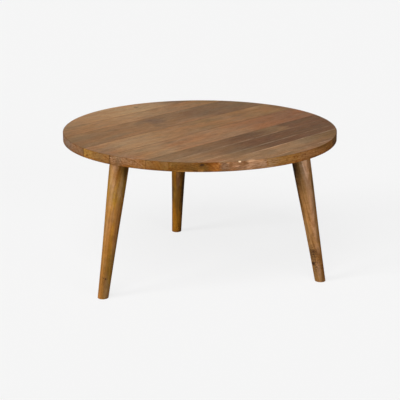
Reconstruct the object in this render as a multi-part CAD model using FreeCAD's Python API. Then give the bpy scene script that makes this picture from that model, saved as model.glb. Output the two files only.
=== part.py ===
# Round coffee table: a top of edge-glued hardwood staves on three splayed, turned legs.
# Millimetres, +Z up. The origin lies on the floor below the centre of the top.
# +X runs along the grain of the staves and +Y across it.
import FreeCAD, Part
import math
import os

from FreeCAD import Placement, Rotation, Vector

# Whole table
table_height = 435.0
top_diameter = 800.0
top_thickness = 26.0
rim_chamfer = 1.6

# Seams between the staves: shares of the top's radius across the grain, from +Y to -Y
seam_shares = (0.72, 0.52, 0.19, -0.08, -0.36, -0.50, -0.66, -0.757, -0.93)

# Legs: the inset is from the rim to where a leg's axis meets the underside of the top
leg_names = ("rear", "front_left", "front_right")
first_leg_azimuth = 54.2
leg_inset = 103.0
leg_splay = 10.35
leg_top_diameter = 56.0
leg_knee_diameter = 46.4
leg_foot_diameter = 30.8
leg_knee_share = 0.62
leg_lower_hollow = 0.6
leg_upper_hollow = 0.12

# Leg brackets: a steel strap bent down to a seat that is tilted to the leg's splay
strap_width = 50.0
strap_thickness = 2.5
bracket_drop = 12.0
seat_length = 48.0
flange_length = 20.0
flange_corner_cut = 6.0
web_flare = 20.0
bend_radius = 2.0
screw_spacing = 30.0

# Weld nut on the inside of the seat
nut_across_flats = 13.0
nut_height = 6.5

# Hanger bolt: a wood screw below the seat, a machine screw above it
bolt_diameter = 8.0
bolt_wood_length = 45.0
bolt_tip_gap = 0.5

# Hexagon-head wood screws, four to a bracket
screw_diameter = 5.0
screw_length = 20.0
screw_across_flats = 8.0
screw_head_height = 3.5

# Clearances and the overrun of cutting solids
fit_clearance = 0.1
bolt_hole_clearance = 0.5
bore_end_gap = 0.5
cut_overrun = 5.0

# Worked out from the sizes above
top_radius = top_diameter / 2
underside_height = table_height - top_thickness
leg_circle_radius = top_radius - leg_inset
splay_sine = math.sin(math.radians(leg_splay))
splay_cosine = math.cos(math.radians(leg_splay))
splay_tangent = math.tan(math.radians(leg_splay))
leg_length = (underside_height - bracket_drop) / splay_cosine
bolt_radius = bolt_diameter / 2
bolt_thread_length = (bracket_drop - bolt_tip_gap - bolt_radius * splay_sine) / splay_cosine
screw_radius = screw_diameter / 2

axis_up = Vector(0, 0, 1)
origin = Vector(0, 0, 0)
seat_centre = Vector(bracket_drop * splay_tangent, 0, -bracket_drop)
seat_place = Placement(seat_centre, Rotation(Vector(0, 1, 0), -leg_splay))


def revolved(edges):
    """A solid of revolution about Z from the edges of half a section."""
    return Part.Face(Part.Wire(edges)).revolve(origin, axis_up, 360)


def line(start, end):
    """A straight edge."""
    return Part.LineSegment(start, end).toShape()


def placed(shape, placement):
    """A copy of the shape, moved."""
    copy = shape.copy()
    copy.Placement = placement.multiply(copy.Placement)
    return copy


def bracket_place(azimuth):
    """From a bracket's own frame, whose origin is where the leg's axis meets the underside."""
    turn = Placement(origin, Rotation(axis_up, azimuth))
    return turn.multiply(Placement(Vector(leg_circle_radius, 0, underside_height), Rotation()))


def leg_place(azimuth):
    """From a leg's own frame: Z up its axis, the origin in the middle of its top face."""
    return bracket_place(azimuth).multiply(seat_place)


def hollowed(start, end, hollow):
    """An edge between two points of a section, drawn in towards the axis at its middle."""
    run = (end - start).normalize()
    waist = (start + end) / 2 + Vector(-run.z, 0, run.x) * hollow
    return Part.Arc(start, waist, end).toShape()


def leg_blank():
    """The turned leg before its foot is cut, with length to spare for the cut."""
    spare = leg_foot_diameter / 2 * splay_tangent + cut_overrun
    shoulder = Vector(leg_top_diameter / 2, 0, 0)
    knee = Vector(leg_knee_diameter / 2, 0, -leg_length * (1 - leg_knee_share))
    foot = Vector(leg_foot_diameter / 2, 0, -leg_length - spare)
    foot_centre = Vector(0, 0, foot.z)
    return revolved(
        [
            line(foot_centre, foot),
            hollowed(foot, knee, leg_lower_hollow),
            hollowed(knee, shoulder, leg_upper_hollow),
            line(shoulder, origin),
            line(origin, foot_centre),
        ]
    )


def leg(azimuth):
    """A leg in its place, bored for its bolt and cut level at the floor."""
    depth = bolt_wood_length + bore_end_gap
    bore = Part.makeCylinder(bolt_radius + fit_clearance, depth, Vector(0, 0, -depth))
    solid = placed(leg_blank().cut(bore), leg_place(azimuth))
    reach = leg_circle_radius + table_height
    below_floor = Part.makeBox(2 * reach, 2 * reach, reach, Vector(-reach, -reach, -reach))
    return solid.cut(below_floor)


def strap_line():
    """The lower side of a bracket in its own frame, from the inner flange to the outer one."""
    along_seat = Vector(splay_cosine, 0, splay_sine)
    seat_inner = seat_centre - along_seat * (seat_length / 2)
    seat_outer = seat_centre + along_seat * (seat_length / 2)
    flare = math.tan(math.radians(web_flare))
    inner_x = seat_inner.x - (-strap_thickness - seat_inner.z) * flare
    outer_x = seat_outer.x + (-strap_thickness - seat_outer.z) * flare
    return [
        Vector(inner_x - flange_length, 0, -strap_thickness),
        Vector(inner_x, 0, -strap_thickness),
        seat_inner,
        seat_outer,
        Vector(outer_x, 0, -strap_thickness),
        Vector(outer_x + flange_length, 0, -strap_thickness),
    ]


def raised_line(points, thickness):
    """The same line on the far side of a strap of one thickness, with mitred corners."""
    runs = [(end - start).normalize() for start, end in zip(points, points[1:])]
    normals = [Vector(-run.z, 0, run.x) for run in runs]
    mitres = [(one + other) / (1 + one.dot(other)) for one, other in zip(normals, normals[1:])]
    steps = [normals[0], *mitres, normals[-1]]
    return [point + step * thickness for point, step in zip(points, steps)]


def bent_edges(points, radii):
    """The edges of a line whose inner corners are bent to the given radii."""
    edges = []
    start = points[0]
    for before, corner, after, radius in zip(points, points[1:], points[2:], radii):
        back = (before - corner).normalize()
        onward = (after - corner).normalize()
        half_angle = back.getAngle(onward) / 2
        reach = radius / math.tan(half_angle)
        middle = corner + (back + onward).normalize() * (radius / math.sin(half_angle) - radius)
        edges.append(line(start, corner + back * reach))
        edges.append(Part.Arc(corner + back * reach, middle, corner + onward * reach).toShape())
        start = corner + onward * reach
    return edges + [line(start, points[-1])]


def screw_places():
    """Where a bracket's screws enter the lower face of its flanges, in the bracket's frame."""
    ends = strap_line()
    for flange_middle in ((ends[0] + ends[1]) / 2, (ends[-2] + ends[-1]) / 2):
        for side in (-screw_spacing / 2, screw_spacing / 2):
            yield Placement(flange_middle + Vector(0, side, 0), Rotation())


def leg_bracket():
    """A bracket in its own frame: the bent strap with holes for its nut and four screws."""
    below = strap_line()
    above = raised_line(below, strap_thickness)
    inside = bend_radius
    outside = bend_radius + strap_thickness
    section = [
        *bent_edges(below, (inside, outside, outside, inside)),
        line(below[-1], above[-1]),
        *bent_edges(above[::-1], (outside, inside, inside, outside)),
        line(above[0], below[0]),
    ]
    strap = Part.Face(Part.Wire(section)).extrude(Vector(0, strap_width, 0))
    strap.translate(Vector(0, -strap_width / 2, 0))
    corners = [edge for edge in strap.Edges if math.isclose(edge.Length, strap_thickness)]
    strap = strap.makeChamfer(flange_corner_cut, corners)
    bolt_hole = Part.makeCylinder(bolt_radius + bolt_hole_clearance, strap_thickness)
    strap = strap.cut(placed(bolt_hole, seat_place))
    screw_hole = Part.makeCylinder(screw_radius + fit_clearance, strap_thickness)
    for place in screw_places():
        strap = strap.cut(placed(screw_hole, place))
    return strap


def hexagon(across_flats, height, base):
    """A hexagonal prism about Z that stands on the given height."""
    corner_radius = across_flats / math.sqrt(3)
    turns = [math.radians(60 * index) for index in range(7)]
    corners = [Vector(corner_radius * math.cos(t), corner_radius * math.sin(t), base) for t in turns]
    return Part.Face(Part.makePolygon(corners)).extrude(Vector(0, 0, height))


def bracket_nut():
    """A weld nut in the leg's frame, on the inside of the bracket's seat."""
    bore = Part.makeCylinder(bolt_radius + fit_clearance, strap_thickness + nut_height)
    return hexagon(nut_across_flats, nut_height, strap_thickness).cut(bore)


def hanger_bolt():
    """A hanger bolt in the leg's frame, from its end in the leg to its end above the nut."""
    length = bolt_wood_length + bolt_thread_length
    return Part.makeCylinder(bolt_radius, length, Vector(0, 0, -bolt_wood_length))


def wood_screw():
    """A hexagon-head screw that points up from the underside of its bracket."""
    head = hexagon(screw_across_flats, screw_head_height, -screw_head_height)
    return head.fuse(Part.makeCylinder(screw_radius, screw_length)).removeSplitter()


def top_blank(azimuths):
    """The whole disc with its eased rim, bored for the bracket screws."""
    disc = Part.makeCylinder(top_radius, top_thickness, Vector(0, 0, underside_height))
    rims = [edge for edge in disc.Edges if edge.BoundBox.ZLength < rim_chamfer]
    disc = disc.makeChamfer(rim_chamfer, rims)
    pilot = Part.makeCylinder(screw_radius + fit_clearance, screw_length + bore_end_gap)
    for azimuth in azimuths:
        for place in screw_places():
            disc = disc.cut(placed(pilot, bracket_place(azimuth).multiply(place)))
    return disc


def top_staves(azimuths):
    """The disc parted at its seams into staves that lie face to face, from +Y to -Y."""
    blank = top_blank(azimuths)
    reach = top_radius + cut_overrun
    seams = [reach] + [share * top_radius for share in seam_shares] + [-reach]
    staves = {}
    for number, (upper, lower) in enumerate(zip(seams, seams[1:]), start=1):
        slab = Part.makeBox(
            2 * reach,
            upper - lower,
            top_thickness + 2 * cut_overrun,
            Vector(-reach, lower, underside_height - cut_overrun),
        )
        staves[f"top_stave_{number:02d}"] = blank.common(slab)
    return staves


def build():
    """Every node by name. Each kind of fastener is one group."""
    step = 360 / len(leg_names)
    azimuths = [first_leg_azimuth + step * index for index in range(len(leg_names))]
    nodes = top_staves(azimuths)
    nuts = []
    bolts = []
    screws = []
    for name, azimuth in zip(leg_names, azimuths):
        on_underside = bracket_place(azimuth)
        on_leg = leg_place(azimuth)
        nodes[f"leg_{name}"] = leg(azimuth)
        nodes[f"leg_bracket_{name}"] = placed(leg_bracket(), on_underside)
        nuts.append(placed(bracket_nut(), on_leg))
        bolts.append(placed(hanger_bolt(), on_leg))
        for place in screw_places():
            screws.append(placed(wood_screw(), on_underside.multiply(place)))
    nodes["bracket_nuts"] = Part.makeCompound(nuts)
    nodes["hanger_bolts"] = Part.makeCompound(bolts)
    nodes["bracket_screws"] = Part.makeCompound(screws)
    return nodes


os.makedirs("parts", exist_ok=True)
for node_name, node_shape in build().items():
    node_shape.exportStep(f"parts/{node_name}.step")
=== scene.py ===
import math

import bmesh
import bpy
from mathutils import Matrix, Vector


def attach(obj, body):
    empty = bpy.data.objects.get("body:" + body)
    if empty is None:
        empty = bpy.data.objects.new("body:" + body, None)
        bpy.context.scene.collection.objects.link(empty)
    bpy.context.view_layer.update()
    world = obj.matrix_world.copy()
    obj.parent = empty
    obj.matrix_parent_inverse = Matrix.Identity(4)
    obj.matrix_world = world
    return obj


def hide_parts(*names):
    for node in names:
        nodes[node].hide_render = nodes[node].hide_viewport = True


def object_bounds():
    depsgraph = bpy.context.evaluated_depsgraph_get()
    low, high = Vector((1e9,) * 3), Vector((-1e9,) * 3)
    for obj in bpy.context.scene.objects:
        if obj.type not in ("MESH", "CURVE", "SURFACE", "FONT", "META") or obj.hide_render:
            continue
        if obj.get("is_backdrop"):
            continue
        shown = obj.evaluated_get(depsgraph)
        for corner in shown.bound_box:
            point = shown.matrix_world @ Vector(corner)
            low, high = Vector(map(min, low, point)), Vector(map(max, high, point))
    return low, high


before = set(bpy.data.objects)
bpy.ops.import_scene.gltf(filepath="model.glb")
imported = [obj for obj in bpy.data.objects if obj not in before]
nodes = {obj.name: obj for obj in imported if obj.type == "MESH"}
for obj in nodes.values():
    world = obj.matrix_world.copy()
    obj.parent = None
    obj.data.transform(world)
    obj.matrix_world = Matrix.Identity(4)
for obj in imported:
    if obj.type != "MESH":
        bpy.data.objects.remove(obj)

cad_low, cad_high = (list(corner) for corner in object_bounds())
MM = 0.001

# The top, in metres in the part's frame
TABLE_HEIGHT = cad_high[2]
TOP_RADIUS = 0.4
TOP_THICKNESS = 0.026
UNDERSIDE = TABLE_HEIGHT - TOP_THICKNESS
RIM_ROUND = 1.8 * MM
SEAM_EASE = 0.25 * MM
ROUND_STEPS = 5
ARC_STEP = math.radians(0.6)
MIN_ARC_STEPS = 8

# The legs: the circle is where their axes meet the underside of the top. The knee lies at a share of
# the leg's length from its foot
LEG_CIRCLE_RADIUS = 0.297
LEG_SPLAY = math.radians(10.35)
BRACKET_DROP = 0.012
LEG_LENGTH = (UNDERSIDE - BRACKET_DROP) / math.cos(LEG_SPLAY)
LEG_TOP_RADIUS = 28.0 * MM
LEG_KNEE_RADIUS = 23.2 * MM
LEG_FOOT_RADIUS = 15.4 * MM
LEG_KNEE_SHARE = 0.62
LEG_HOLLOW = 0.6 * MM
LEG_BELLY = 0.3 * MM
LEG_TOP_EASE = 1.0 * MM
FOOT_EASE = 1.4 * MM
LEG_SEGMENTS = 72
LEG_RINGS = 48
SHARP_ANGLE = math.radians(40)

# The middle point of an eased edge lies this share of the ease from both of its faces
EASE_MIDDLE = 0.3
# Steps in which the slanted leg's meeting with a level height is found
LEVEL_STEPS = 6

# The steel pieces. Their sheen is cloudy, with fine lines from drawing
BRACKET_EASE = 0.25 * MM
FASTENER_EASE = 0.20 * MM
FLAT_ANGLE = math.radians(0.5)
WELD_DISTANCE = 0.001 * MM
STRAP_STEEL = dict(colour=(0.50, 0.49, 0.46), roughness=0.34)
FASTENER_ZINC = dict(colour=(0.58, 0.56, 0.50), roughness=0.28)
CLOUD_LEVELS = (0.35, 0.7)
CLOUD_SHADE = 0.78
CLOUD_ROUGHNESS = 0.16
DRAWING_LINE_ROUGHNESS = 0.08
DRAWING_LINE_DEPTH = 0.05 * MM
DRAWING_LINE_BUMP = 0.2

# Wood tones, as linear colours
TONES = {
    "wheat": (0.378, 0.218, 0.093),
    "straw": (0.331, 0.189, 0.084),
    "blond": (0.290, 0.155, 0.060),
    "light": (0.255, 0.131, 0.050),
    "sand": (0.247, 0.140, 0.060),
    "golden": (0.285, 0.141, 0.055),
    "amber": (0.225, 0.107, 0.028),
    "flame": (0.268, 0.110, 0.026),
    "blush": (0.350, 0.211, 0.127),
    "rose": (0.390, 0.240, 0.155),
    "sunny": (0.335, 0.155, 0.040),
    "pink": (0.226, 0.127, 0.073),
    "cinnamon": (0.195, 0.097, 0.030),
    "mauve": (0.165, 0.102, 0.066),
    "clay": (0.178, 0.091, 0.041),
    "red": (0.232, 0.098, 0.030),
    "rust": (0.195, 0.076, 0.022),
    "brown": (0.229, 0.120, 0.044),
    "taupe": (0.209, 0.121, 0.052),
    "umber": (0.166, 0.084, 0.030),
    "purple": (0.140, 0.070, 0.032),
    "olive": (0.145, 0.072, 0.023),
    "dark": (0.107, 0.041, 0.006),
    "honey": (0.147, 0.067, 0.012),
    "walnut": (0.124, 0.060, 0.012),
    "ember": (0.145, 0.054, 0.008),
    "gold": (0.262, 0.134, 0.030),
    "bronze": (0.264, 0.135, 0.020),
    "ochre": (0.250, 0.108, 0.010),
    "shade": (0.095, 0.042, 0.008),
    "cream": (0.950, 0.620, 0.420),
    "filler": (0.950, 0.820, 0.640),
    "bark": (0.030, 0.014, 0.007),
}

# Each noise: how often it varies per metre along X, Y and Z, and its detail. A log's grain runs along X
NOISES = {
    "slow sway": ((2.6, 9, 9), 2.0),
    "quick sway": ((14, 60, 60), 2.0),
    "coarse fibre": ((22, 230, 230), 3.0),
    "fine fibre": ((34, 950, 950), 2.0),
    "pores": ((80, 1700, 1700), 1.0),
    "mottle": ((24, 60, 60), 6.0),
    "speckle": ((75, 160, 160), 3.0),
    "hue": ((6, 26, 26), 4.0),
    "face tones": ((8, 60, 60), 4.0),
    "rim tones": ((20, 90, 240), 3.0),
    "rim streaks": ((100, 120, 330), 4.0),
    "rim flecks": ((160, 210, 420), 3.0),
    "glue": ((16, 5, 5), 5.0),
    "leg streaks": ((5, 60, 60), 4.0),
    "leg patches": ((16, 70, 70), 5.0),
    "mark edge": ((18, 130, 130), 4.0),
    "net warp": ((300, 300, 200), 2.0),
    "steel cloud": ((160, 160, 160), 3.0),
    "drawing lines": ((90, 2400, 2400), 2.0),
}

# Levels are where on a noise's scale, from 0 to 1, something starts to show and where it shows in full
SHEEN_LEVELS = (0.3, 0.7)

# The log's figure: how far it sways, where in a ring the late wood starts and is full, and how its
# fibre and its mottle are blended from a coarse and a fine noise
SLOW_SWAY = 0.030
QUICK_SWAY = 0.003
LATE_WOOD_START = 0.15
LATE_WOOD_FULL = 0.90
COARSE_SHARE = 0.6
FINE_SHARE = 0.4
PORE_LEVELS = (0.60, 0.68)

# How wood darkens in its late wood, between its fibres, in its pores and along its seams
LATE_WOOD_TINT = (0.74, 0.67, 0.60)
END_RING_TINT = (0.84, 0.76, 0.66)
FIBRE_TINT = (0.80, 0.75, 0.69)
PORE_TINT = (0.55, 0.47, 0.39)
SEAM_TINT = (0.50, 0.42, 0.34)
LATE_WOOD_SHARE = 0.6
FIBRE_SHARE = 0.7
FIBRE_LEVELS = (0.60, 0.34)
PORE_SHARE = 0.6
SEAM_SHARE = 0.8
SEAM_FADE = (0.5 * MM, 2.2 * MM)

# How its hue and brightness wander, and by what share of the top's radius the places of its tones do
WARM_TINT = (1.10, 0.97, 0.80)
COOL_TINT = (0.92, 1.00, 1.08)
HUE_LEVELS = (0.3, 0.7)
MOTTLE_LEVELS = (0.30, 0.70)
MOTTLE_BRIGHTNESS = (0.82, 1.16)
FACE_WANDER = 0.28
RIM_WANDER = 0.03

# The rim's end grain. Between two shares of the radius along X, the tones of its left end give way to
# those of its right end. The eased edges get painted shade, darkest halfway round
RIM_STREAK_TINT = (0.62, 0.48, 0.34)
RIM_STREAK_LEVELS = (0.50, 0.68)
RIM_FLECK_LEVELS = (0.53, 0.66)
RIM_FOOT_TINT = (0.86, 0.74, 0.55)
RIM_FOOT = 12.0 * MM
RIM_ENDS_MEET = (-0.14, -0.04)
EDGE_SHADE_TINT = (0.62, 0.54, 0.46)

# The lacquer: its roughness between the fibres and on them, and what pores and matt places add to it.
# A pore's depth is a share of a fibre's height
TOP_GLOSS = 0.052
LEG_GLOSS = 0.02
LEG_MATTNESS = 0.5
FIBRE_ROUGHNESS = (0.56, 0.44)
PORE_ROUGHNESS = 0.15
MATT_ROUGHNESS = 0.35
PORE_DEPTH = 0.6
GRAIN_DEPTH = 0.15 * MM
GRAIN_BUMP = 0.35

# A mark fades between two distances from its middle, in half-sizes, once its edge is made ragged.
# A mark with a net shows only the edges of its cells; net is how many cells lie on a metre
MARK_FADE = (0.9, 2.0)
MARK_RAGGEDNESS = 1.2
NET_WARP = 4 * MM
NET_LINE = (0.06, 0.30)

# From stave to stave, the place in the log moves on by so many metres along the grain. The log lies a
# little askew about Y and about Z: by a first angle and a step for each stave, in degrees
LOG_SHIFT = 1.7
LOG_TURNS = ((0.9, -0.23), (0.5, -0.11))

# The staves from +Y to -Y. Each has the place of its lower seam, its log's pith and ring spacing in mm,
# how strongly its end grain is flecked, the tones of its faces along X, and the tones of its left and
# right ends along Y. All places are shares of the top's radius
STAVES = (
    dict(
        seam=0.72, slot="stave_light", pith=(18, -70), ring=5.5, flecks=0.2,
        face=((-0.75, "brown"), (-0.3, "straw"), (0.1, "wheat"), (0.38, "straw"), (0.56, "umber")),
        left=((0.8, "brown"),),
        right=((0.8, "amber"),),
    ),
    dict(
        seam=0.52, slot="stave_light", pith=(-60, -25), ring=4.5, flecks=0.3,
        face=((-0.8, "brown"), (-0.35, "blond"), (-0.12, "straw"), (0.12, "blond"), (0.3, "light"),
              (0.7, "amber")),
        left=((0.6, "mauve"),),
        right=((0.6, "amber"),),
    ),
    dict(
        seam=0.19, slot="stave_dark", pith=(10, -50), ring=6.0, flecks=0.3,
        face=((-1.0, "cinnamon"), (-0.8, "brown"), (-0.15, "brown"), (0.3, "umber"), (0.7, "olive")),
        left=((0.45, "mauve"), (0.22, "clay")),
        right=((0.3, "dark"),),
    ),
    dict(
        seam=-0.08, slot="stave_golden", pith=(-14, -90), ring=7.0, flecks=0.15,
        face=((-0.95, "golden"), (-0.75, "straw"), (-0.5, "straw"), (-0.35, "blond"), (-0.1, "light"),
              (0.2, "amber"), (0.42, "light"), (0.52, "amber"), (0.9, "amber")),
        left=((0.20, "umber"), (0.188, "gold"), (0.13, "gold"), (0.07, "amber"), (-0.02, "cinnamon")),
        right=((0.1, "amber"),),
    ),
    dict(
        seam=-0.36, slot="stave_red", pith=(8, -64), ring=6.5, flecks=0.65,
        face=((-0.95, "golden"), (-0.8, "blond"), (-0.64, "straw"), (-0.5, "golden"), (0.1, "golden"),
              (0.35, "red"), (0.75, "rust")),
        left=((-0.085, "shade"), (-0.095, "clay"), (-0.30, "clay"), (-0.35, "amber")),
        right=((-0.2, "rust"),),
    ),
    dict(
        seam=-0.50, slot="stave_dark", pith=(70, -16), ring=4.0, flecks=0.1,
        face=((-0.85, "taupe"), (-0.35, "umber"), (0.05, "dark"), (0.34, "cinnamon"), (0.42, "umber"),
              (0.47, "dark")),
        left=((-0.37, "cinnamon"), (-0.46, "honey"), (-0.485, "cinnamon")),
        right=((-0.4, "dark"),),
    ),
    dict(
        seam=-0.66, slot="stave_dark", pith=(-8, -40), ring=5.0, flecks=0.1,
        face=((-0.62, "sand"), (-0.42, "umber"), (-0.1, "dark"), (0.6, "dark")),
        left=((-0.51, "honey"), (-0.54, "walnut"), (-0.64, "walnut")),
        right=((-0.6, "dark"),),
    ),
    dict(
        seam=-0.757, slot="stave_golden", pith=(40, -30), ring=4.5, flecks=0.1,
        face=((-0.65, "golden"), (-0.45, "brown"), (-0.05, "dark"), (0.5, "dark")),
        left=((-0.67, "walnut"), (-0.70, "walnut"), (-0.72, "ember"), (-0.74, "flame")),
        right=((-0.7, "umber"),),
    ),
    dict(
        seam=-0.93, slot="stave_light", pith=(-20, -34), ring=5.0, flecks=0.5,
        face=((-0.6, "sand"), (0.12, "sand"), (0.45, "honey")),
        left=((-0.76, "flame"), (-0.772, "mauve"), (-0.80, "mauve"), (-0.81, "pink"), (-0.86, "pink"),
              (-0.875, "rose"), (-0.92, "blush")),
        # Painted shade: the dark stop at the right end darkens the rim where it turns away from the lamps
        right=((-0.93, "shade"), (-0.965, "honey")),
    ),
    dict(
        seam=-1.0, slot="stave_light", pith=(12, -60), ring=5.0, flecks=0.2,
        face=((-0.2, "cinnamon"), (0.05, "light"), (0.3, "light")),
        left=((-0.94, "straw"), (-0.965, "sunny"), (-0.999, "sunny")),
        right=((-0.97, "amber"), (-0.999, "golden")),
    ),
)

# Seams with a pale line of glue, and between which places along X each line grows faint. The line
# is gone from the rim where the attribute rim reaches a value
GLUE_LINES = {-0.50: (0.10, 0.65), -0.66: (0.25, 0.62), -0.757: (0.45, 0.85), -0.93: (0.25, 0.60)}
GLUE_LINE_COLOUR = (0.47, 0.34, 0.23)
GLUE_LINE_FAINT = 0.25
GLUE_LINE_FADE = (0.7 * MM, 2.0 * MM)
GLUE_LEVELS = (0.30, 0.65)
GLUE_SHARES = (0.1, 0.75)
GLUE_RIM_LIMIT = 0.6

# Marks in each stave, in the order they are laid on: place and half-size in metres, tone, strength,
# and how far the grain swerves round them in mm. A mark without a height lies on the upper face.
# Some are painted shade along the rim's lower edge and its right end, as noted by them
TOP_MARKS = {
    1: (
        dict(at=(0.200, 0.322), size=(0.035, 0.014, 0.020), tone="umber", strength=0.5),
        dict(at=(0.080, 0.344), size=(0.010, 0.006, 0.020), tone="bark", strength=0.6, swerve=5),
    ),
    2: (
        dict(at=(-0.005, 0.221), size=(0.050, 0.014, 0.030), tone="taupe", strength=0.5, swerve=2),
    ),
    3: (
        dict(at=(-0.026, 0.187), size=(0.046, 0.014, 0.030), tone="purple", strength=0.8, swerve=4),
        dict(at=(-0.016, 0.168), size=(0.044, 0.014, 0.030), tone="purple", strength=0.6, swerve=4),
        dict(at=(-0.026, 0.144), size=(0.032, 0.017, 0.030), tone="purple", strength=0.8, swerve=5),
        dict(at=(0.125, 0.198), size=(0.050, 0.012, 0.030), tone="brown", strength=0.5),
        dict(at=(0.075, 0.090), size=(0.075, 0.018, 0.030), tone="golden", strength=0.6),
        dict(at=(-0.055, 0.108), size=(0.020, 0.022, 0.030), tone="umber", strength=0.9, swerve=5),
        dict(at=(0.150, 0.150), size=(0.100, 0.040, 0.030), tone="dark", strength=0.35),
    ),
    4: (
        dict(at=(0.383, 0.014), size=(0.025, 0.034, 0.020), tone="dark", strength=0.55),
        dict(at=(0.320, 0.066), size=(0.035, 0.010, 0.020), tone="straw", strength=0.5),
        dict(at=(-0.394, -0.022), size=(0.012, 0.012, 0.004), tone="umber", strength=0.5),
        dict(at=(0.212, 0.026), size=(0.030, 0.010, 0.030), tone="umber", strength=0.8, swerve=6),
        dict(at=(-0.3996, -0.010, 0.4330), size=(0.010, 0.012, 0.0030), tone="umber", strength=0.5),
        dict(at=(-0.397, -0.024, 0.4330), size=(0.010, 0.012, 0.0030), tone="umber", strength=0.6),
    ),
    5: (
        dict(at=(-0.188, -0.055), size=(0.030, 0.012, 0.030), tone="olive", strength=0.6, swerve=5),
        dict(at=(-0.370, -0.138, 0.4250), size=(0.002, 0.004, 0.009), tone="bark", strength=0.8, swerve=1),
        dict(at=(-0.383, -0.112, 0.4290), size=(0.002, 0.006, 0.003), tone="shade", strength=0.7),
        dict(at=(-0.386, -0.103, 0.4350), size=(0.010, 0.012, 0.0030), tone="blush", strength=0.5),
        # Painted shade: these three darken the rim along its lower edge, above the front left leg
        dict(at=(-0.386, -0.107, 0.4105), size=(0.014, 0.016, 0.0050), tone="umber", strength=0.9),
        dict(at=(-0.390, -0.090, 0.4105), size=(0.012, 0.026, 0.0040), tone="ember", strength=0.7),
        dict(at=(-0.387, -0.100, 0.4125), size=(0.010, 0.012, 0.0040), tone="honey", strength=0.6),
    ),
    6: (
        dict(at=(0.010, -0.165), size=(0.095, 0.020, 0.030), tone="dark", strength=0.9, swerve=3),
        dict(at=(-0.3500, -0.1900, 0.4320), size=(0.020, 0.020, 0.003), tone="olive", strength=0.6),
        dict(at=(-0.3485, -0.1955, 0.4170), size=(0.010, 0.009, 0.0070), tone="honey", strength=0.7),
    ),
    7: (
        dict(at=(-0.300, -0.259), size=(0.014, 0.008, 0.004), tone="dark", strength=0.5),
        dict(at=(-0.3200, -0.2400, 0.4320), size=(0.030, 0.030, 0.003), tone="olive", strength=0.8),
        dict(at=(-0.322, -0.237, 0.4105), size=(0.030, 0.030, 0.0025), tone="gold", strength=0.9),
    ),
    8: (
        dict(at=(-0.296, -0.268), size=(0.012, 0.008, 0.004), tone="dark", strength=0.5),
        dict(at=(-0.2945, -0.2720, 0.4285), size=(0.008, 0.008, 0.005), tone="bark", strength=1.0, swerve=3),
        dict(at=(-0.296, -0.269, 0.4105), size=(0.012, 0.012, 0.0025), tone="gold", strength=0.6),
        dict(at=(-0.296, -0.269, 0.4145), size=(0.010, 0.010, 0.0040), tone="sunny", strength=0.4),
    ),
    9: (
        dict(at=(0.078, -0.368), size=(0.115, 0.013, 0.010), tone="umber", strength=1.0),
        dict(at=(-0.187, -0.353, 0.4335), size=(0.014, 0.012, 0.003), tone="cream", strength=0.35),
        dict(at=(-0.207, -0.342, 0.4110), size=(0.008, 0.008, 0.003), tone="blond", strength=0.6),
        dict(at=(-0.241, -0.319, 0.4320), size=(0.006, 0.006, 0.003), tone="blush", strength=0.8),
        dict(
            at=(-0.203, -0.345, 0.4275), size=(0.012, 0.010, 0.004), tone="purple", strength=0.75,
            swerve=4,
        ),
        dict(at=(-0.236, -0.323, 0.4260), size=(0.006, 0.006, 0.008), tone="purple", strength=0.7, swerve=3),
        dict(at=(-0.224, -0.331, 0.4225), size=(0.010, 0.010, 0.003), tone="rose", strength=0.8),
        dict(at=(-0.190, -0.352, 0.4235), size=(0.016, 0.016, 0.002), tone="rose", strength=0.7),
        dict(at=(-0.045, -0.3042), size=(0.070, 0.0030, 0.010), tone="cream", strength=0.35),
        dict(at=(-0.209, -0.3410, 0.4150), size=(0.009, 0.009, 0.0045), tone="rose", strength=0.3),
        dict(at=(0.132, -0.369), size=(0.034, 0.010, 0.010), tone="dark", strength=0.5),
        dict(at=(0.008, -0.363), size=(0.026, 0.008, 0.010), tone="olive", strength=0.5),
        dict(at=(-0.216, -0.337, 0.4340), size=(0.0037, 0.0037, 0.0020), tone="filler", strength=1.0),
    ),
    10: (
        dict(at=(0.100, -0.378), size=(0.080, 0.014, 0.010), tone="umber", strength=0.6),
        dict(at=(0.075, -0.394, 0.4310), size=(0.060, 0.020, 0.0038), tone="walnut", strength=0.7),
        # Painted shade: the first darkens the rim toward its right end, the second along its lower edge
        dict(at=(0.126, -0.380, 0.4190), size=(0.024, 0.020, 0.0120), tone="shade", strength=0.2),
        dict(at=(0.030, -0.399, 0.4110), size=(0.034, 0.020, 0.0038), tone="shade", strength=0.6),
        dict(at=(-0.136, -0.376, 0.4119), size=(0.014, 0.014, 0.0040), tone="blush", strength=0.4),
    ),
}

LEG_STREAK_LEVELS = (0.40, 0.60)
LEG_PATCH_LEVELS = (0.52, 0.68)
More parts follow.
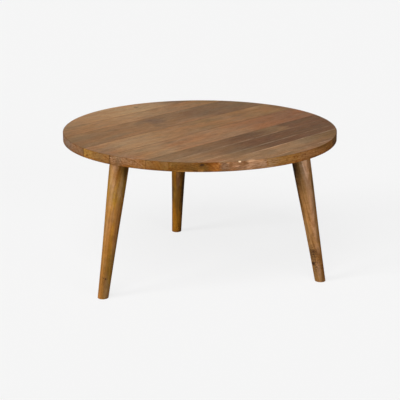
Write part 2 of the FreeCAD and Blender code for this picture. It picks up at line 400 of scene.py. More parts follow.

# The legs' own tones, from their lightest streaks to their darkest, their logs' pith and ring spacing in
# mm and tilt in degrees, and marks. A mark's place is its angle round the axis and its distance down it.
# Some marks are painted shade and painted light, as noted by them.
# 169 degrees on the rear leg, 53 on the front left and -78 on the front right one face the camera
LEGS = {
    "rear": dict(
        azimuth=54.2, tones=("ochre", "honey", "shade"), pith=(30, 8), tilt=(2.5, -3.0), ring=6.0,
        marks=(
            # Painted shade: the leg's inner side, under the top, darkened along its length
            dict(angle=-135, down=0.20, size=(0.012, 0.012, 0.400), tone="shade", strength=0.75),
            dict(angle=-175, down=0.360, size=(0.010, 0.010, 0.030), tone="ochre", strength=0.6),
            # Painted shade: a darker stripe on the leg's inner edge
            dict(angle=-130, down=0.240, size=(0.009, 0.009, 0.120), tone="bark", strength=0.9),
            dict(angle=168, down=0.202, size=(0.008, 0.008, 0.035), tone="clay", strength=0.8),
            dict(angle=132, down=0.390, size=(0.009, 0.009, 0.020), tone="ochre", strength=0.6),
        ),
    ),
    "front_left": dict(
        azimuth=174.2, tones=("bronze", "amber", "brown"), pith=(-26, 18), tilt=(-4.0, 3.0), ring=6.5,
        marks=(
            # Painted light: these two lighten the leg's lit left side, the second a pinkish painted
            # highlight below the seat
            dict(angle=14, down=0.190, size=(0.012, 0.012, 0.110), tone="wheat", strength=0.2),
            dict(angle=20, down=0.060, size=(0.010, 0.010, 0.090), tone="blush", strength=0.45),
            dict(angle=60, down=0.050, size=(0.006, 0.006, 0.060), tone="honey", strength=0.4),
            # Painted light and painted shade below the seat, where the top's shadow falls: lighter on the
            # left, darker on the right and just under the seat
            dict(angle=2, down=0.030, size=(0.013, 0.013, 0.028), tone="wheat", strength=0.75),
            dict(angle=99, down=0.028, size=(0.011, 0.011, 0.040), tone="shade", strength=1.0),
            dict(angle=75, down=0.012, size=(0.010, 0.010, 0.012), tone="umber", strength=0.6),
            dict(angle=78, down=0.080, size=(0.008, 0.008, 0.040), tone="blond", strength=0.8),
            dict(angle=38, down=0.205, size=(0.007, 0.007, 0.030), tone="amber", strength=0.5),
            dict(angle=9, down=0.140, size=(0.008, 0.008, 0.030), tone="brown", strength=0.5),
            dict(angle=100, down=0.385, size=(0.010, 0.010, 0.030), tone="honey", strength=0.9),
            # Painted shade: the leg's inner side, under the top, darkened along much of its length
            dict(angle=118, down=0.240, size=(0.012, 0.012, 0.300), tone="shade", strength=0.4),
            dict(angle=85, down=0.210, size=(0.007, 0.007, 0.120), tone="light", strength=0.5),
            dict(angle=54, down=0.335, size=(0.010, 0.010, 0.120), tone="honey", strength=0.9),
            dict(angle=84, down=0.378, size=(0.009, 0.009, 0.035), tone="taupe", strength=0.6),
            dict(angle=54, down=0.356, size=(0.006, 0.006, 0.030), tone="umber", strength=0.9),
            dict(angle=102, down=0.391, size=(0.010, 0.010, 0.014), tone="umber", strength=0.9),
            dict(angle=28, down=0.026, size=(0.010, 0.010, 0.011), tone="rose", strength=0.5),
            dict(angle=51.6, down=0.345, size=(0.003, 0.003, 0.003), tone="bark", strength=0.9),
            dict(angle=30, down=0.344, size=(0.002, 0.002, 0.002), tone="bark", strength=0.8),
        ),
    ),
    "front_right": dict(
        azimuth=294.2, tones=("blond", "cinnamon", "umber"), pith=(24, -30), tilt=(3.0, 4.0), ring=5.5,
        marks=(
            # Painted shadow: the top's shadow on the leg's left side, below its seat
            dict(angle=-146, down=0.040, size=(0.017, 0.017, 0.080), tone="bark", strength=0.9),
            # Painted light: the next three are painted highlights on the side lit from the front right,
            # brightest below the seat
            dict(angle=-58, down=0.050, size=(0.013, 0.013, 0.080), tone="blush", strength=0.9),
            dict(angle=-54, down=0.045, size=(0.009, 0.009, 0.050), tone="cream", strength=0.55),
            dict(angle=-48, down=0.180, size=(0.012, 0.012, 0.130), tone="blush", strength=0.8),
            dict(angle=-22, down=0.240, size=(0.007, 0.007, 0.080), tone="honey", strength=0.6),
            dict(angle=-60, down=0.350, size=(0.016, 0.016, 0.060), tone="cinnamon", strength=0.6),
            dict(angle=-118, down=0.335, size=(0.010, 0.010, 0.040), tone="umber", strength=0.3),
            dict(angle=-25, down=0.380, size=(0.009, 0.009, 0.035), tone="dark", strength=0.6),
            dict(angle=-50, down=0.302, size=(0.008, 0.008, 0.020), tone="blush", strength=0.4),
            dict(angle=-86, down=0.125, size=(0.009, 0.009, 0.050), tone="straw", strength=0.7),
            dict(angle=-78, down=0.175, size=(0.008, 0.008, 0.035), tone="straw", strength=0.5),
            # Painted shade: darkens the leg's right edge
            dict(angle=-12, down=0.107, size=(0.006, 0.006, 0.030), tone="shade", strength=0.75),
            # Painted shade: the lower end of the top's shadow on the leg's left side
            dict(angle=-139, down=0.130, size=(0.008, 0.008, 0.040), tone="shade", strength=0.8),
            dict(angle=-78, down=0.355, size=(0.006, 0.006, 0.025), tone="golden", strength=0.7),
            dict(angle=-76, down=0.365, size=(0.010, 0.010, 0.040), tone="golden", strength=0.6),
            dict(angle=-102, down=0.310, size=(0.016, 0.016, 0.022), tone="bark", strength=0.95, net=290),
            dict(angle=-84, down=0.350, size=(0.017, 0.017, 0.035), tone="bark", strength=0.8, net=260),
            dict(angle=-138, down=0.372, size=(0.011, 0.011, 0.035), tone="umber", strength=0.8),
            dict(angle=-66, down=0.398, size=(0.014, 0.014, 0.010), tone="umber", strength=0.4),
            # Painted shade: these two darken the leg's right edge further down
            dict(angle=-17, down=0.165, size=(0.006, 0.006, 0.030), tone="umber", strength=0.5),
            dict(angle=-20, down=0.260, size=(0.006, 0.006, 0.030), tone="umber", strength=0.4),
            dict(angle=-27, down=0.050, size=(0.007, 0.007, 0.015), tone="blush", strength=0.6),
            dict(angle=-68, down=0.366, size=(0.006, 0.006, 0.026), tone="rose", strength=0.22),
            dict(angle=-100, down=0.308, size=(0.005, 0.005, 0.008), tone="bark", strength=0.5),
            dict(angle=-121, down=0.345, size=(0.006, 0.006, 0.006), tone="bark", strength=1.0),
        ),
    ),
}

# Camera, in the photograph's 400 x 400 frame
IMAGE_SIZE = 400
FOCAL_PIXELS = 1205.58
SENSOR_WIDTH = 36.0
CAMERA_AZIMUTH = math.radians(-47.9)
CAMERA_DISTANCE = 3.4531
CAMERA_HEIGHT = 1.2373
CAMERA_PITCH = 0.2879
CAMERA_ROLL = -0.002

# Studio. A lamp's turn, elevation and spread are in degrees
BACKDROP_GREY = 0.92
AMBIENT_STRENGTH = 0.05
FLOOR_HALF_SIDE = 30.0
FLOOR_BOUNCE_GREY = 0.35
FLOOR_GLOW_SHARE = 0.85
LAMPS = (
    dict(name="key", turn=-15, elevation=44, strength=2.12, spread=40, mirrored=True),
    dict(name="left", turn=-62, elevation=17, strength=3.60, spread=26, mirrored=True),
    dict(name="right", turn=34, elevation=8, strength=1.90, spread=30, mirrored=True),
    dict(name="back", turn=180, elevation=6, strength=0.90, spread=30, mirrored=False),
)


class Tree:
    """Adds nodes to a shader tree. An input that is a socket is linked, and any other value is set."""

    def __init__(self, tree):
        self.tree = tree

    def feed(self, node, inputs):
        for key, value in inputs.items():
            if isinstance(value, bpy.types.NodeSocket):
                self.tree.links.new(value, node.inputs[key])
            else:
                node.inputs[key].default_value = value

    def add(self, kind, inputs=None, **settings):
        node = self.tree.nodes.new("ShaderNode" + kind)
        for name, value in settings.items():
            setattr(node, name, value)
        self.feed(node, inputs or {})
        return node

    def math(self, operation, first, second=0.0, third=0.0):
        return self.add("Math", {0: first, 1: second, 2: third}, operation=operation).outputs[0]

    def vector(self, operation, first, second):
        key = "Scale" if operation == "SCALE" else 1
        return self.add("VectorMath", {0: first, key: second}, operation=operation).outputs[0]

    def length(self, vector):
        return self.add("VectorMath", {0: vector}, operation="LENGTH").outputs["Value"]

    def axes(self, vector):
        return self.add("SeparateXYZ", {0: vector}).outputs

    def noise(self, vector, name, output="Fac"):
        per_metre, detail = NOISES[name]
        scaled = self.vector("MULTIPLY", vector, per_metre)
        inputs = {"Vector": scaled, "Scale": 1.0, "Detail": detail}
        return self.add("TexNoise", inputs).outputs[output]

    def smooth(self, value, low, high, at_low=0.0, at_high=1.0):
        inputs = {"Value": value, 1: low, 2: high, 3: at_low, 4: at_high}
        return self.add("MapRange", inputs, interpolation_type="SMOOTHSTEP").outputs[0]

    def mix(self, amount, first, second, blend="MIX"):
        inputs = {0: amount, 6: rgba(first), 7: rgba(second)}
        return self.add("Mix", inputs, data_type="RGBA", blend_type=blend).outputs[2]


def rgba(colour):
    """A socket as it is, or a colour of three numbers with its alpha."""
    return colour if isinstance(colour, bpy.types.NodeSocket) else (*colour, 1.0)


def material(name):
    """A new material: its tree and its Principled shader."""
    made = bpy.data.materials.new(name)
    made.use_nodes = True
    return made, Tree(made.node_tree), made.node_tree.nodes["Principled BSDF"]


def blended(tree, coarse, fine):
    """A coarse and a fine noise together."""
    coarse = tree.math("MULTIPLY", coarse, COARSE_SHARE)
    return tree.math("ADD", coarse, tree.math("MULTIPLY", fine, FINE_SHARE))


def wood_figure():
    """A group with the figure of a log whose pith runs along X. All that it gives runs from 0 to 1."""
    group = bpy.data.node_groups.new("wood_figure", "ShaderNodeTree")
    sockets = group.interface
    sockets.new_socket("Place", in_out="INPUT", socket_type="NodeSocketVector")
    sockets.new_socket("Spacing", in_out="INPUT", socket_type="NodeSocketFloat")
    sockets.new_socket("Swerve", in_out="INPUT", socket_type="NodeSocketFloat")
    names = ("Late wood", "Fibre", "Pores", "Mottle", "Hue")
    for name in names:
        sockets.new_socket(name, in_out="OUTPUT", socket_type="NodeSocketFloat")
    tree = Tree(group)
    given = group.nodes.new("NodeGroupInput").outputs
    place = given["Place"]

    middle = (0.5, 0.5, 0.5)
    slow = tree.vector("SUBTRACT", tree.noise(place, "slow sway", output="Color"), middle)
    quick = tree.vector("SUBTRACT", tree.noise(place, "quick sway", output="Color"), middle)
    slow = tree.vector("MULTIPLY", slow, (0, SLOW_SWAY, SLOW_SWAY))
    quick = tree.vector("MULTIPLY", quick, (0, QUICK_SWAY, QUICK_SWAY))
    bent = tree.vector("ADD", place, tree.vector("ADD", slow, quick))
    radius = tree.math("ADD", tree.length(tree.vector("MULTIPLY", bent, (0, 1, 1))), given["Swerve"])
    rings = tree.math("DIVIDE", radius, given["Spacing"])
    part = tree.math("FRACT", rings)
    year = tree.math("FLOOR", rings)
    strength = tree.add("TexWhiteNoise", {"W": year}, noise_dimensions="1D").outputs["Value"]
    rise = tree.smooth(part, LATE_WOOD_START, LATE_WOOD_FULL)
    fall = tree.smooth(part, LATE_WOOD_FULL, 1.0, 1.0, 0.0)
    late = tree.math("MULTIPLY", tree.math("MULTIPLY", rise, fall), strength)

    fibre = blended(tree, tree.noise(bent, "coarse fibre"), tree.noise(bent, "fine fibre"))
    pores = tree.smooth(tree.noise(bent, "pores"), *PORE_LEVELS)
    mottle = blended(tree, tree.noise(bent, "mottle"), tree.noise(bent, "speckle"))
    hue = tree.noise(bent, "hue")

    result = group.nodes.new("NodeGroupOutput").inputs
    for name, value in zip(names, (late, fibre, pores, mottle, hue)):
        group.links.new(value, result[name])
    return group


def placed_figure(tree, group, log, ring, swerve):
    """The wood figure at a place in its log, whose rings lie this many mm apart."""
    inputs = {"Place": log, "Spacing": ring * MM, "Swerve": swerve}
    return tree.add("Group", inputs, node_tree=group).outputs


def mark_mask(tree, place, centre, mark):
    """How far a place lies inside a mark, from 0 to 1, with a ragged edge. A net is only its fine lines."""
    scaled = tree.vector("DIVIDE", tree.vector("SUBTRACT", place, centre), mark["size"])
    ragged = tree.noise(place, "mark edge")
    distance = tree.math("MULTIPLY_ADD", ragged, MARK_RAGGEDNESS, tree.length(scaled))
    mask = tree.smooth(distance, *MARK_FADE, 1.0, 0.0)
    if "net" in mark:
        warp = tree.vector("SCALE", tree.noise(place, "net warp", output="Color"), NET_WARP)
        inputs = {"Vector": tree.vector("ADD", place, warp), "Scale": mark["net"]}
        to_edge = tree.add("TexVoronoi", inputs, feature="DISTANCE_TO_EDGE").outputs["Distance"]
        mask = tree.math("MULTIPLY", mask, tree.smooth(to_edge, *NET_LINE, 1.0, 0.0))
    return mask


def with_mark(tree, colour, mask, mark):
    """A colour with a mark laid over it."""
    amount = tree.math("MULTIPLY", mask, mark["strength"])
    return tree.mix(amount, colour, TONES[mark["tone"]])


def finish_wood(tree, shader, figure, colour, gloss, matt):
    """Figure, fibres and pores over a base colour, with satin lacquer on top but where it is matt."""
    late, fibre, pores = figure["Late wood"], figure["Fibre"], figure["Pores"]
    colour = tree.mix(tree.math("MULTIPLY", late, LATE_WOOD_SHARE), colour, LATE_WOOD_TINT, "MULTIPLY")
    colour = tree.mix(tree.math("MULTIPLY", late, matt), colour, END_RING_TINT, "MULTIPLY")
    between = tree.smooth(fibre, *FIBRE_LEVELS, 0.0, FIBRE_SHARE)
    colour = tree.mix(between, colour, FIBRE_TINT, "MULTIPLY")
    colour = tree.mix(tree.math("MULTIPLY", pores, PORE_SHARE), colour, PORE_TINT, "MULTIPLY")
    hue = tree.mix(tree.smooth(figure["Hue"], *HUE_LEVELS), COOL_TINT, WARM_TINT)
    colour = tree.mix(1.0, colour, hue, "MULTIPLY")
    bright = tree.smooth(figure["Mottle"], *MOTTLE_LEVELS, *MOTTLE_BRIGHTNESS)
    rough = tree.smooth(fibre, *SHEEN_LEVELS, *FIBRE_ROUGHNESS)
    rough = tree.math("MULTIPLY_ADD", pores, PORE_ROUGHNESS, rough)
    rough = tree.math("MULTIPLY_ADD", matt, MATT_ROUGHNESS, rough)
    height = tree.math("SUBTRACT", fibre, tree.math("MULTIPLY", pores, PORE_DEPTH))
    bump = tree.add("Bump", {"Strength": GRAIN_BUMP, "Distance": GRAIN_DEPTH, "Height": height})
    tree.feed(shader, {
        "Base Color": tree.vector("SCALE", colour, bright),
        "Roughness": rough,
        "Normal": bump.outputs[0],
        "Specular IOR Level": gloss,
    })


def tones_along(tree, along, stops):
    """A colour that runs through tones at places from -1 to 1, given in either order."""
    ramp = tree.add("ValToRGB", {0: tree.math("MULTIPLY_ADD", along, 0.5, 0.5)})
    elements = ramp.color_ramp.elements
    elements.remove(elements[-1])
    for index, (place, tone) in enumerate(sorted(stops)):
        element = elements[0] if index == 0 else elements.new(1.0)
        element.position = (place + 1) / 2
        element.color = rgba(TONES[tone])
    return ramp.outputs["Color"]


def wandering(tree, distance, vector, noise, reach):
    """A distance as a share of the top's radius, moved to and fro by a noise over a vector."""
    share = tree.math("MULTIPLY", distance, 1 / TOP_RADIUS)
    wander = tree.math("MULTIPLY_ADD", tree.noise(vector, noise), reach, -reach / 2)
    return tree.math("ADD", share, wander)


def rim_colour(tree, place, stave):
    """The end grain round the rim: its tones run along Y, with streaks, flecks and a darker foot."""
    x, y, z = tree.axes(place)
    across = wandering(tree, y, place, "rim tones", RIM_WANDER)
    left = tones_along(tree, across, stave["left"])
    right = tones_along(tree, across, stave["right"])
    share = tree.math("MULTIPLY", x, 1 / TOP_RADIUS)
    colour = tree.mix(tree.smooth(share, *RIM_ENDS_MEET), left, right)
    streaks = tree.smooth(tree.noise(place, "rim streaks"), *RIM_STREAK_LEVELS)
    colour = tree.mix(streaks, colour, RIM_STREAK_TINT, "MULTIPLY")
    flecks = tree.smooth(tree.noise(place, "rim flecks"), *RIM_FLECK_LEVELS, 0.0, stave["flecks"])
    colour = tree.mix(flecks, colour, TONES["blush"])
    foot = tree.smooth(z, UNDERSIDE, UNDERSIDE + RIM_FOOT, 1.0, 0.0)
    return tree.mix(foot, colour, RIM_FOOT_TINT, "MULTIPLY")


def stave_material(number, stave, seams, group):
    """One stave's wood. Its grain runs along X and its tones change along it."""
    made, tree, shader = material(f"stave_wood_{number:02d}")
    place = tree.add("TexCoord").outputs["Object"]
    middle = (seams[0] + seams[1]) / 2 * TOP_RADIUS
    pith_y, pith_z = (value * MM for value in stave["pith"])
    shift = (number * LOG_SHIFT, -middle - pith_y, -UNDERSIDE - pith_z)
    turn = (0.0, *(math.radians(first + step * number) for first, step in LOG_TURNS))
    log = tree.add("Mapping", {"Vector": place, "Location": shift, "Rotation": turn}).outputs[0]

    masks = []
    swerve = 0.0
    for mark in TOP_MARKS[number]:
        centre = (*mark["at"], TABLE_HEIGHT)[:3]
        masks.append(mark_mask(tree, place, centre, mark))
        swerve = tree.math("MULTIPLY_ADD", masks[-1], mark.get("swerve", 0) * MM, swerve)
    figure = placed_figure(tree, group, log, stave["ring"], swerve)

    along = wandering(tree, tree.axes(place)[0], log, "face tones", FACE_WANDER)
    colour = tones_along(tree, along, stave["face"])
    rim = tree.add("Attribute", attribute_name="rim").outputs["Fac"]
    colour = tree.mix(rim, colour, rim_colour(tree, place, stave))
    # Painted shade: the eased edges are darkened, most halfway round
    edge_shade = tree.math("MULTIPLY", tree.math("SUBTRACT", 1.0, rim), tree.math("MULTIPLY", rim, 4.0))
    colour = tree.mix(edge_shade, colour, EDGE_SHADE_TINT, "MULTIPLY")
    for mask, mark in zip(masks, TOP_MARKS[number]):
        colour = with_mark(tree, colour, mask, mark)
    colour = with_seam_lines(tree, place, colour, seams, rim)
    finish_wood(tree, shader, figure, colour, TOP_GLOSS, rim)
    return made


def with_seam_lines(tree, place, colour, seams, rim):
    """A thin dark line along each seam, or on the faces a pale uneven one of glue and filler."""
    x, y, _ = tree.axes(place)
    for seam in (seam for seam in seams if abs(seam) < 1):
        distance = tree.math("ABSOLUTE", tree.math("SUBTRACT", y, seam * TOP_RADIUS))
        if seam in GLUE_LINES:
            line = tree.smooth(distance, *GLUE_LINE_FADE, 1.0, 0.0)
            start, end = (fade * TOP_RADIUS for fade in GLUE_LINES[seam])
            line = tree.math("MULTIPLY", line, tree.smooth(x, start, end, 1.0, GLUE_LINE_FAINT))
            uneven = tree.smooth(tree.noise(place, "glue"), *GLUE_LEVELS, *GLUE_SHARES)
            shown = tree.math("MULTIPLY", uneven, tree.smooth(rim, 0.0, GLUE_RIM_LIMIT, 1.0, 0.0))
            colour = tree.mix(tree.math("MULTIPLY", line, shown), colour, GLUE_LINE_COLOUR)
        else:
            line = tree.smooth(distance, *SEAM_FADE, 1.0, 0.0)
            colour = tree.mix(tree.math("MULTIPLY", line, SEAM_SHARE), colour, SEAM_TINT, "MULTIPLY")
    return colour


def leg_material(name, leg, group):
    """One leg's wood, turned from a blank whose grain runs along the leg, with marks, some of them painted
    shade and light.
    """
    made, tree, shader = material(f"leg_wood_{name}")
    inverse = leg_place(leg["azimuth"]).inverted()
    place = tree.add("Mapping", {
        "Vector": tree.add("TexCoord").outputs["Object"],
        "Location": inverse.translation,
        "Rotation": inverse.to_euler(),
    }).outputs[0]
    across, aside, down = tree.axes(place)
    turned = tree.add("CombineXYZ", {0: down, 1: across, 2: aside}).outputs[0]
    pith_y, pith_z = (value * MM for value in leg["pith"])
    # The azimuth along the grain gives each leg its own stretch of wood
    log = tree.add("Mapping", {
        "Vector": turned,
        "Location": (leg["azimuth"], -pith_y, -pith_z),
        "Rotation": (0.0, *(math.radians(angle) for angle in leg["tilt"])),
    }).outputs[0]
    figure = placed_figure(tree, group, log, leg["ring"], 0.0)
    light, middle, deep = (TONES[tone] for tone in leg["tones"])
    streak = tree.smooth(tree.noise(log, "leg streaks"), *LEG_STREAK_LEVELS)
    patch = tree.smooth(tree.noise(log, "leg patches"), *LEG_PATCH_LEVELS)
    colour = tree.mix(patch, tree.mix(streak, light, middle), deep)
    for mark in leg["marks"]:
        angle = math.radians(mark["angle"])
        radius = leg_radius(1 - mark["down"] / LEG_LENGTH)
        centre = (radius * math.cos(angle), radius * math.sin(angle), -mark["down"])
        colour = with_mark(tree, colour, mark_mask(tree, place, centre, mark), mark)
    finish_wood(tree, shader, figure, colour, LEG_GLOSS, LEG_MATTNESS)
    return made


def steel_material(name, colour, roughness):
    """Zinc-plated steel: a cloudy sheen with fine drawing lines."""
    made, tree, shader = material(name)
    place = tree.add("TexCoord").outputs["Object"]
    cloud = tree.noise(place, "steel cloud")
    lines = tree.noise(place, "drawing lines")
    darker = tuple(value * CLOUD_SHADE for value in colour)
    cloudy = tree.smooth(cloud, *SHEEN_LEVELS, roughness, roughness + CLOUD_ROUGHNESS)
    scored = tree.math("MULTIPLY", lines, DRAWING_LINE_ROUGHNESS)
    inputs = {"Strength": DRAWING_LINE_BUMP, "Distance": DRAWING_LINE_DEPTH, "Height": lines}
    tree.feed(shader, {
        "Base Color": tree.mix(tree.smooth(cloud, *CLOUD_LEVELS), colour, darker),
        "Roughness": tree.math("ADD", cloudy, scored),
        "Normal": tree.add("Bump", inputs).outputs[0],
        "Metallic": 1.0,
    })
    return made


def corner_normals(bm):
    """A normal for each face corner, ruled by the largest faces it runs smoothly into."""
    areas = {face: face.calc_area() for face in bm.faces}
    normals = []
    for face in bm.faces:
        for vert in face.verts:
            near = [other for other in vert.link_faces if other.normal.angle(face.normal, 0) < SHARP_ANGLE]
            total = sum((other.normal * areas[other] for other in near), Vector())
            normals.append(total.normalized())
    return normals


def piece(name, bm):
    """A mesh object that rides on the table, with flat faces left flat and eased edges shaded smooth."""
    bmesh.ops.recalc_face_normals(bm, faces=bm.faces)
    bm.normal_update()
    for face in bm.faces:
        face.smooth = True
    normals = corner_normals(bm)
    mesh = bpy.data.meshes.new(name)
    bm.to_mesh(mesh)
    bm.free()
    mesh.normals_split_custom_set(normals)
    made = bpy.data.objects.new(name, mesh)
    bpy.context.scene.collection.objects.link(made)
    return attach(made, "root")


def stave_outline(low, high, rim_inset, seam_inset, count):
    """A stave's outline, drawn in from the rim and from its seams. Its ends are arcs."""
    radius = TOP_RADIUS - rim_inset
    low = max(low + seam_inset, -radius) if low > -TOP_RADIUS else -radius
    high = min(high - seam_inset, radius) if high < TOP_RADIUS else radius
    start = math.asin(low / radius)
    end = math.asin(high / radius)
    angles = [start + (end - start) * step / count for step in range(count + 1)]
    right = [(radius * math.cos(angle), radius * math.sin(angle)) for angle in angles]
    left = [(-x, y) for x, y in reversed(right)]
    return right + left


def stave_mesh(low, high):
    """A stave with eased edges. The attribute rim is 1 on its sides and 0 on its faces."""
    bm = bmesh.new()
    rim = bm.verts.layers.float.new("rim")
    arc = math.asin(high / TOP_RADIUS) - math.asin(low / TOP_RADIUS)
    count = max(MIN_ARC_STEPS, round(arc / ARC_STEP))
    turns = [math.pi / 2 * step / ROUND_STEPS for step in range(ROUND_STEPS + 1)]
    lower = [(UNDERSIDE + RIM_ROUND * (1 - math.cos(turn)), turn) for turn in turns]
    upper = [(TABLE_HEIGHT - RIM_ROUND * (1 - math.cos(turn)), turn) for turn in reversed(turns)]
    rings = []
    for height, turn in lower + upper:
        flat = 1 - math.sin(turn)
        ring = []
        for x, y in stave_outline(low, high, RIM_ROUND * flat, SEAM_EASE * flat, count):
            vert = bm.verts.new((x, y, height))
            vert[rim] = math.sin(turn)
            ring.append(vert)
        rings.append(ring)
    for below, above in zip(rings, rings[1:]):
        for index in range(len(below)):
            following = (index + 1) % len(below)
            bm.faces.new((below[index], below[following], above[following], above[index]))
    for ring in (rings[0], rings[-1]):
        bm.faces.new(ring)
    return bm


def build_top(group):
    """The ten staves, each with its own wood."""
    upper = 1.0
    for number, stave in enumerate(STAVES, start=1):
        lower = stave["seam"]
        made = piece(f"stave_{number:02d}", stave_mesh(lower * TOP_RADIUS, upper * TOP_RADIUS))
        made.data.materials.append(stave_material(number, stave, (upper, lower), group))
        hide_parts(f"top_stave_{number:02d}")
        upper = lower


def leg_radius(share):
    """A leg's radius at a share of its length, from 0 at the foot to 1 at the seat."""
    if share < LEG_KNEE_SHARE:
        part = share / LEG_KNEE_SHARE
        straight = LEG_FOOT_RADIUS + (LEG_KNEE_RADIUS - LEG_FOOT_RADIUS) * part
        return straight - LEG_HOLLOW * 4 * part * (1 - part)
    part = (share - LEG_KNEE_SHARE) / (1 - LEG_KNEE_SHARE)
    straight = LEG_KNEE_RADIUS + (LEG_TOP_RADIUS - LEG_KNEE_RADIUS) * part
    return straight + LEG_BELLY * 4 * part * (1 - part)


def leg_place(azimuth):
    """From a leg's own frame: Z up its axis and X outward, its origin in the middle of its seat."""
    drop = Vector((BRACKET_DROP * math.tan(LEG_SPLAY), 0, -BRACKET_DROP))
    centre = Vector((LEG_CIRCLE_RADIUS, 0, UNDERSIDE)) + drop
    tilt = Matrix.Rotation(-LEG_SPLAY, 4, "Y")
    return Matrix.Rotation(math.radians(azimuth), 4, "Z") @ Matrix.Translation(centre) @ tilt


def leg_mesh(place):
    """A turned leg with an eased seat, cut level at the floor with an eased edge."""
    bm = bmesh.new()
    to_world = place.to_3x3()
    origin_height = place.translation.z

    def column(angle):
        """The points of one side of the leg from its sole to its seat."""
        outward = Vector((math.cos(angle), math.sin(angle), 0))
        rise = (to_world @ outward).z
        points = []
        middle = EASE_MIDDLE * FOOT_EASE
        for inset, height in ((FOOT_EASE, 0.0), (middle, middle), (0.0, FOOT_EASE)):
            down = -LEG_LENGTH
            for _ in range(LEVEL_STEPS):
                radius = leg_radius(1 + down / LEG_LENGTH) - inset
                down = (height - origin_height - radius * rise) / math.cos(LEG_SPLAY)
            points.append(outward * radius + Vector((0, 0, down)))
        foot = points[-1].z
        for ring in range(1, LEG_RINGS + 1):
            down = foot + (-LEG_TOP_EASE - foot) * ring / LEG_RINGS
            points.append(outward * leg_radius(1 + down / LEG_LENGTH) + Vector((0, 0, down)))
        middle = EASE_MIDDLE * LEG_TOP_EASE
        points.append(outward * (LEG_TOP_RADIUS - middle) + Vector((0, 0, -middle)))
        points.append(outward * (LEG_TOP_RADIUS - LEG_TOP_EASE))
        return points

    columns = []
    for segment in range(LEG_SEGMENTS):
        points = column(2 * math.pi * segment / LEG_SEGMENTS)
        columns.append([bm.verts.new(point) for point in points])
    for left, right in zip(columns, columns[1:] + columns[:1]):
        for low in range(len(left) - 1):
            bm.faces.new((left[low], right[low], right[low + 1], left[low + 1]))
    bm.faces.new([points[0] for points in columns])
    bm.faces.new([points[-1] for points in columns])
    bm.transform(place)
    return bm


def build_legs(group):
    """The three legs, each with its own wood and marks."""
    for name, leg in LEGS.items():
        made = piece(f"turned_leg_{name}", leg_mesh(leg_place(leg["azimuth"])))
        made.data.materials.append(leg_material(name, leg, group))
        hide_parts(f"leg_{name}")


def eased_copy(node, ease):
    """The mesh of a packed steel piece with its sharp edges eased."""
    bm = bmesh.new()
    bm.from_mesh(node.data)
    bm.transform(node.matrix_world)
    bmesh.ops.remove_doubles(bm, verts=bm.verts, dist=WELD_DISTANCE)
    bmesh.ops.dissolve_limit(bm, angle_limit=FLAT_ANGLE, verts=bm.verts, edges=bm.edges)
    sharp = [edge for edge in bm.edges if edge.calc_face_angle(0) > SHARP_ANGLE]
    shape = dict(offset=ease, segments=2, profile=0.5, affect="EDGES", clamp_overlap=True)
    bmesh.ops.bevel(bm, geom=sharp, **shape)
    return bm


def build_hardware():
    """The leg brackets and their fasteners, in zinc-plated steel with eased edges."""
    strap = steel_material("strap_steel", **STRAP_STEEL)
    bright = steel_material("fastener_zinc", **FASTENER_ZINC)
    for name, node in nodes.items():
        if name.startswith("leg_bracket"):
            steel, slot, ease = strap, "bracket_steel", BRACKET_EASE
        elif name in ("bracket_nuts", "hanger_bolts", "bracket_screws"):
            steel, slot, ease = bright, "fastener_steel", FASTENER_EASE
        else:
            continue
        made = piece(f"steel_{name}", eased_copy(node, ease))
        made.data.materials.append(steel)
        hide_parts(name)


def seen_directly(tree):
    """1 for camera, glossy and transmission rays, which all see the backdrop's own grey."""
    path = tree.add("LightPath").outputs
    glossy = tree.math("MAXIMUM", path["Is Glossy Ray"], path["Is Transmission Ray"])
    return tree.math("MAXIMUM", path["Is Camera Ray"], glossy)


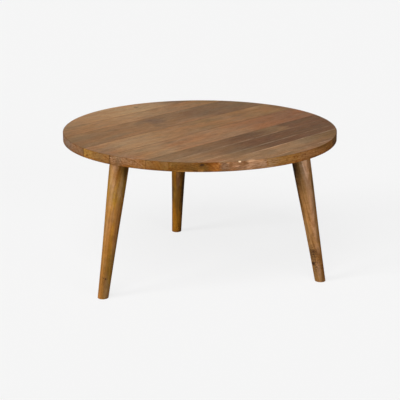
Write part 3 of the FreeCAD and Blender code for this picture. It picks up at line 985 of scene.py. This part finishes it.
def build_floor():
    """A pale floor that fills the view and keeps a soft shadow."""
    bm = bmesh.new()
    bmesh.ops.create_grid(bm, x_segments=2, y_segments=2, size=FLOOR_HALF_SIDE)
    mesh = bpy.data.meshes.new("floor")
    bm.to_mesh(mesh)
    bm.free()
    floor = bpy.data.objects.new("floor", mesh)
    bpy.context.scene.collection.objects.link(floor)
    made = bpy.data.materials.new("floor_paint")
    made.use_nodes = True
    made.node_tree.nodes.clear()
    tree = Tree(made.node_tree)
    seen = seen_directly(tree)
    grey = tree.mix(seen, (FLOOR_BOUNCE_GREY,) * 3, (BACKDROP_GREY,) * 3)
    paint = tree.add("BsdfDiffuse", {"Color": grey}).outputs[0]
    glow = tree.add("Emission", {"Color": rgba((BACKDROP_GREY,) * 3), "Strength": 1.0}).outputs[0]
    share = tree.math("MULTIPLY", seen, FLOOR_GLOW_SHARE)
    blend = tree.add("MixShader", {0: share, 1: paint, 2: glow}).outputs[0]
    tree.add("OutputMaterial", {"Surface": blend})
    mesh.materials.append(made)
    floor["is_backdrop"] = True


def build_world():
    world = bpy.data.worlds.new("studio")
    world.use_nodes = True
    world.node_tree.nodes.clear()
    tree = Tree(world.node_tree)
    strength = tree.smooth(seen_directly(tree), 0.0, 1.0, AMBIENT_STRENGTH, BACKDROP_GREY)
    light = tree.add("Background", {"Color": (1, 1, 1, 1), "Strength": strength}).outputs[0]
    tree.add("OutputWorld", {"Surface": light})
    bpy.context.scene.world = world


def build_lamps():
    """Large soft suns. Each one's turn is from behind the camera, positive to the camera's right.

    The back one fills the far side and leaves no glare on the top.
    """
    for lamp in LAMPS:
        light = bpy.data.lights.new(lamp["name"], "SUN")
        light.energy = lamp["strength"]
        light.angle = math.radians(lamp["spread"])
        holder = bpy.data.objects.new("lamp_" + lamp["name"], light)
        bpy.context.scene.collection.objects.link(holder)
        holder.visible_glossy = lamp["mirrored"]
        turn = CAMERA_AZIMUTH + math.radians(lamp["turn"])
        elevation = math.radians(lamp["elevation"])
        level = math.cos(elevation)
        source = Vector((math.sin(turn) * level, -math.cos(turn) * level, math.sin(elevation)))
        holder.rotation_euler = source.to_track_quat("Z", "Y").to_euler()


def build_camera():
    data = bpy.data.cameras.new("camera")
    data.sensor_width = SENSOR_WIDTH
    data.lens = FOCAL_PIXELS / IMAGE_SIZE * SENSOR_WIDTH
    camera = bpy.data.objects.new("camera", data)
    bpy.context.scene.collection.objects.link(camera)
    back = Vector((math.sin(CAMERA_AZIMUTH), -math.cos(CAMERA_AZIMUTH), 0))
    camera.location = back * CAMERA_DISTANCE + Vector((0, 0, CAMERA_HEIGHT))
    aim = Matrix.Rotation(CAMERA_AZIMUTH, 4, "Z") @ Matrix.Rotation(math.pi / 2 - CAMERA_PITCH, 4, "X")
    camera.rotation_euler = (aim @ Matrix.Rotation(CAMERA_ROLL, 4, "Z")).to_euler()
    bpy.context.scene.camera = camera


figure_group = wood_figure()
build_top(figure_group)
build_legs(figure_group)
build_hardware()
build_floor()
build_world()
build_lamps()
build_camera()
bpy.context.scene.view_settings.view_transform = "Standard"
